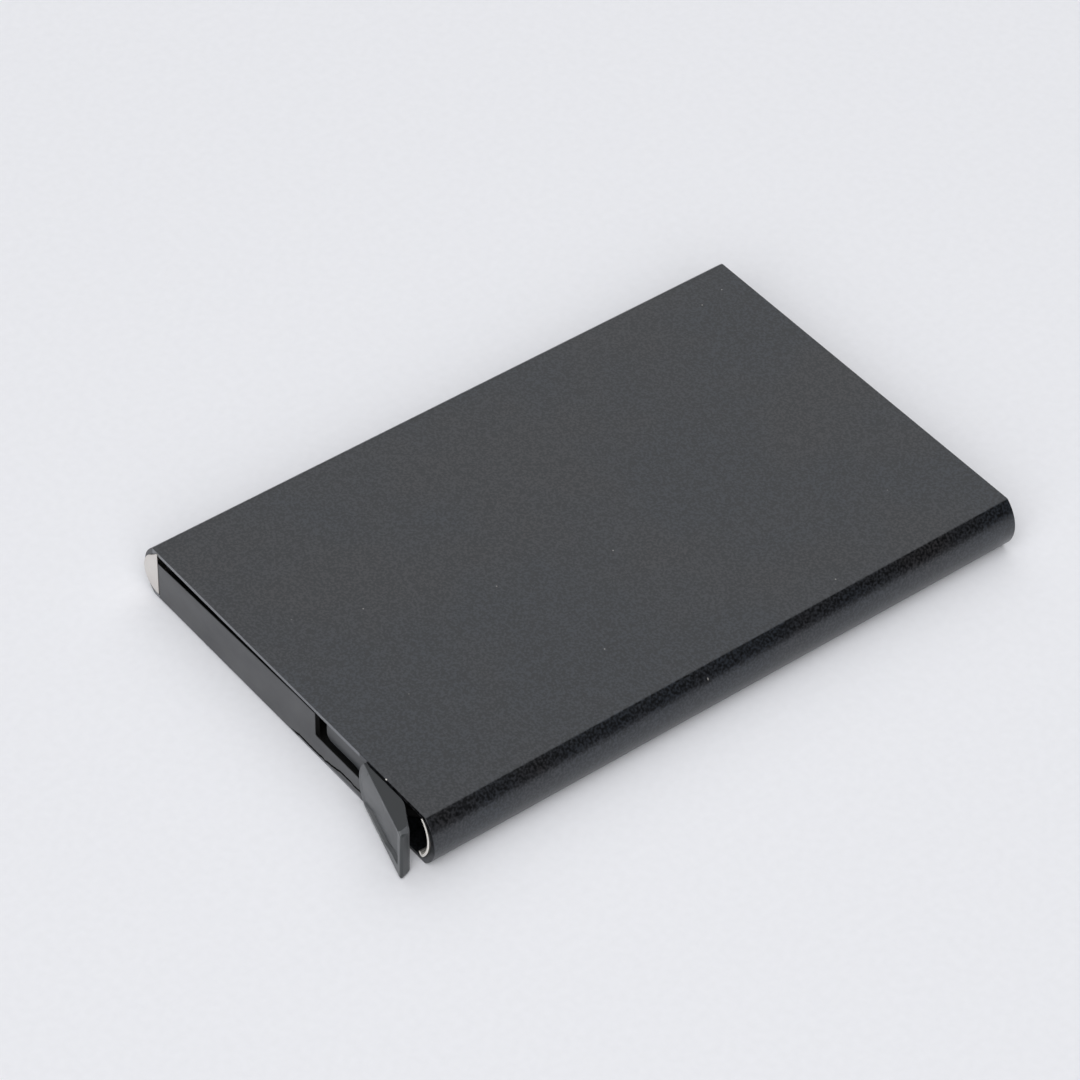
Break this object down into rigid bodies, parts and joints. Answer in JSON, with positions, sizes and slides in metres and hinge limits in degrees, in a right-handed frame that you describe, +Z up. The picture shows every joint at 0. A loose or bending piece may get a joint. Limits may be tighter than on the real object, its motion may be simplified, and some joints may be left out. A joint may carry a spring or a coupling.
{
  "type": "pop-up card case",
  "caption": "Slim aluminium sleeve for bank cards with a moulded end cap, steel spring liners and a flick-out lever whose stepped arm fans the cards out of the open mouth.",
  "frame": {"origin": "centre of the sleeve's flat underside", "axes": "+Y along the sleeve towards the open card mouth, +X across the sleeve towards the corner where the lever's handle is, +Z up through the flat top face"},
  "size_m": [0.063, 0.099, 0.0082],
  "materials": {
    "sleeve": "black anodised, fine bead-blasted satin",
    "end_cap": "satin moulded",
    "lever": "satin moulded",
    "pin": "turned",
    "spring_strip": "cold-rolled, cut edges bright"
  },
  "bodies": {
    "case": {"sleeve": "sleeve", "end_cap": "end_cap", "pivot_pin": "pin", "spring_strip_near": "spring_strip", "spring_strip_far": "spring_strip"},
    "lever": {"eject_lever": "lever"}
  },
  "joints": [
    {"name": "lever_swing", "type": "hinge", "parent": "case", "child": "lever", "pos_m": [0.014, -0.0429, 0.0047], "axis": [0, 0, -1], "range_deg": [0, 50]}
  ]
}
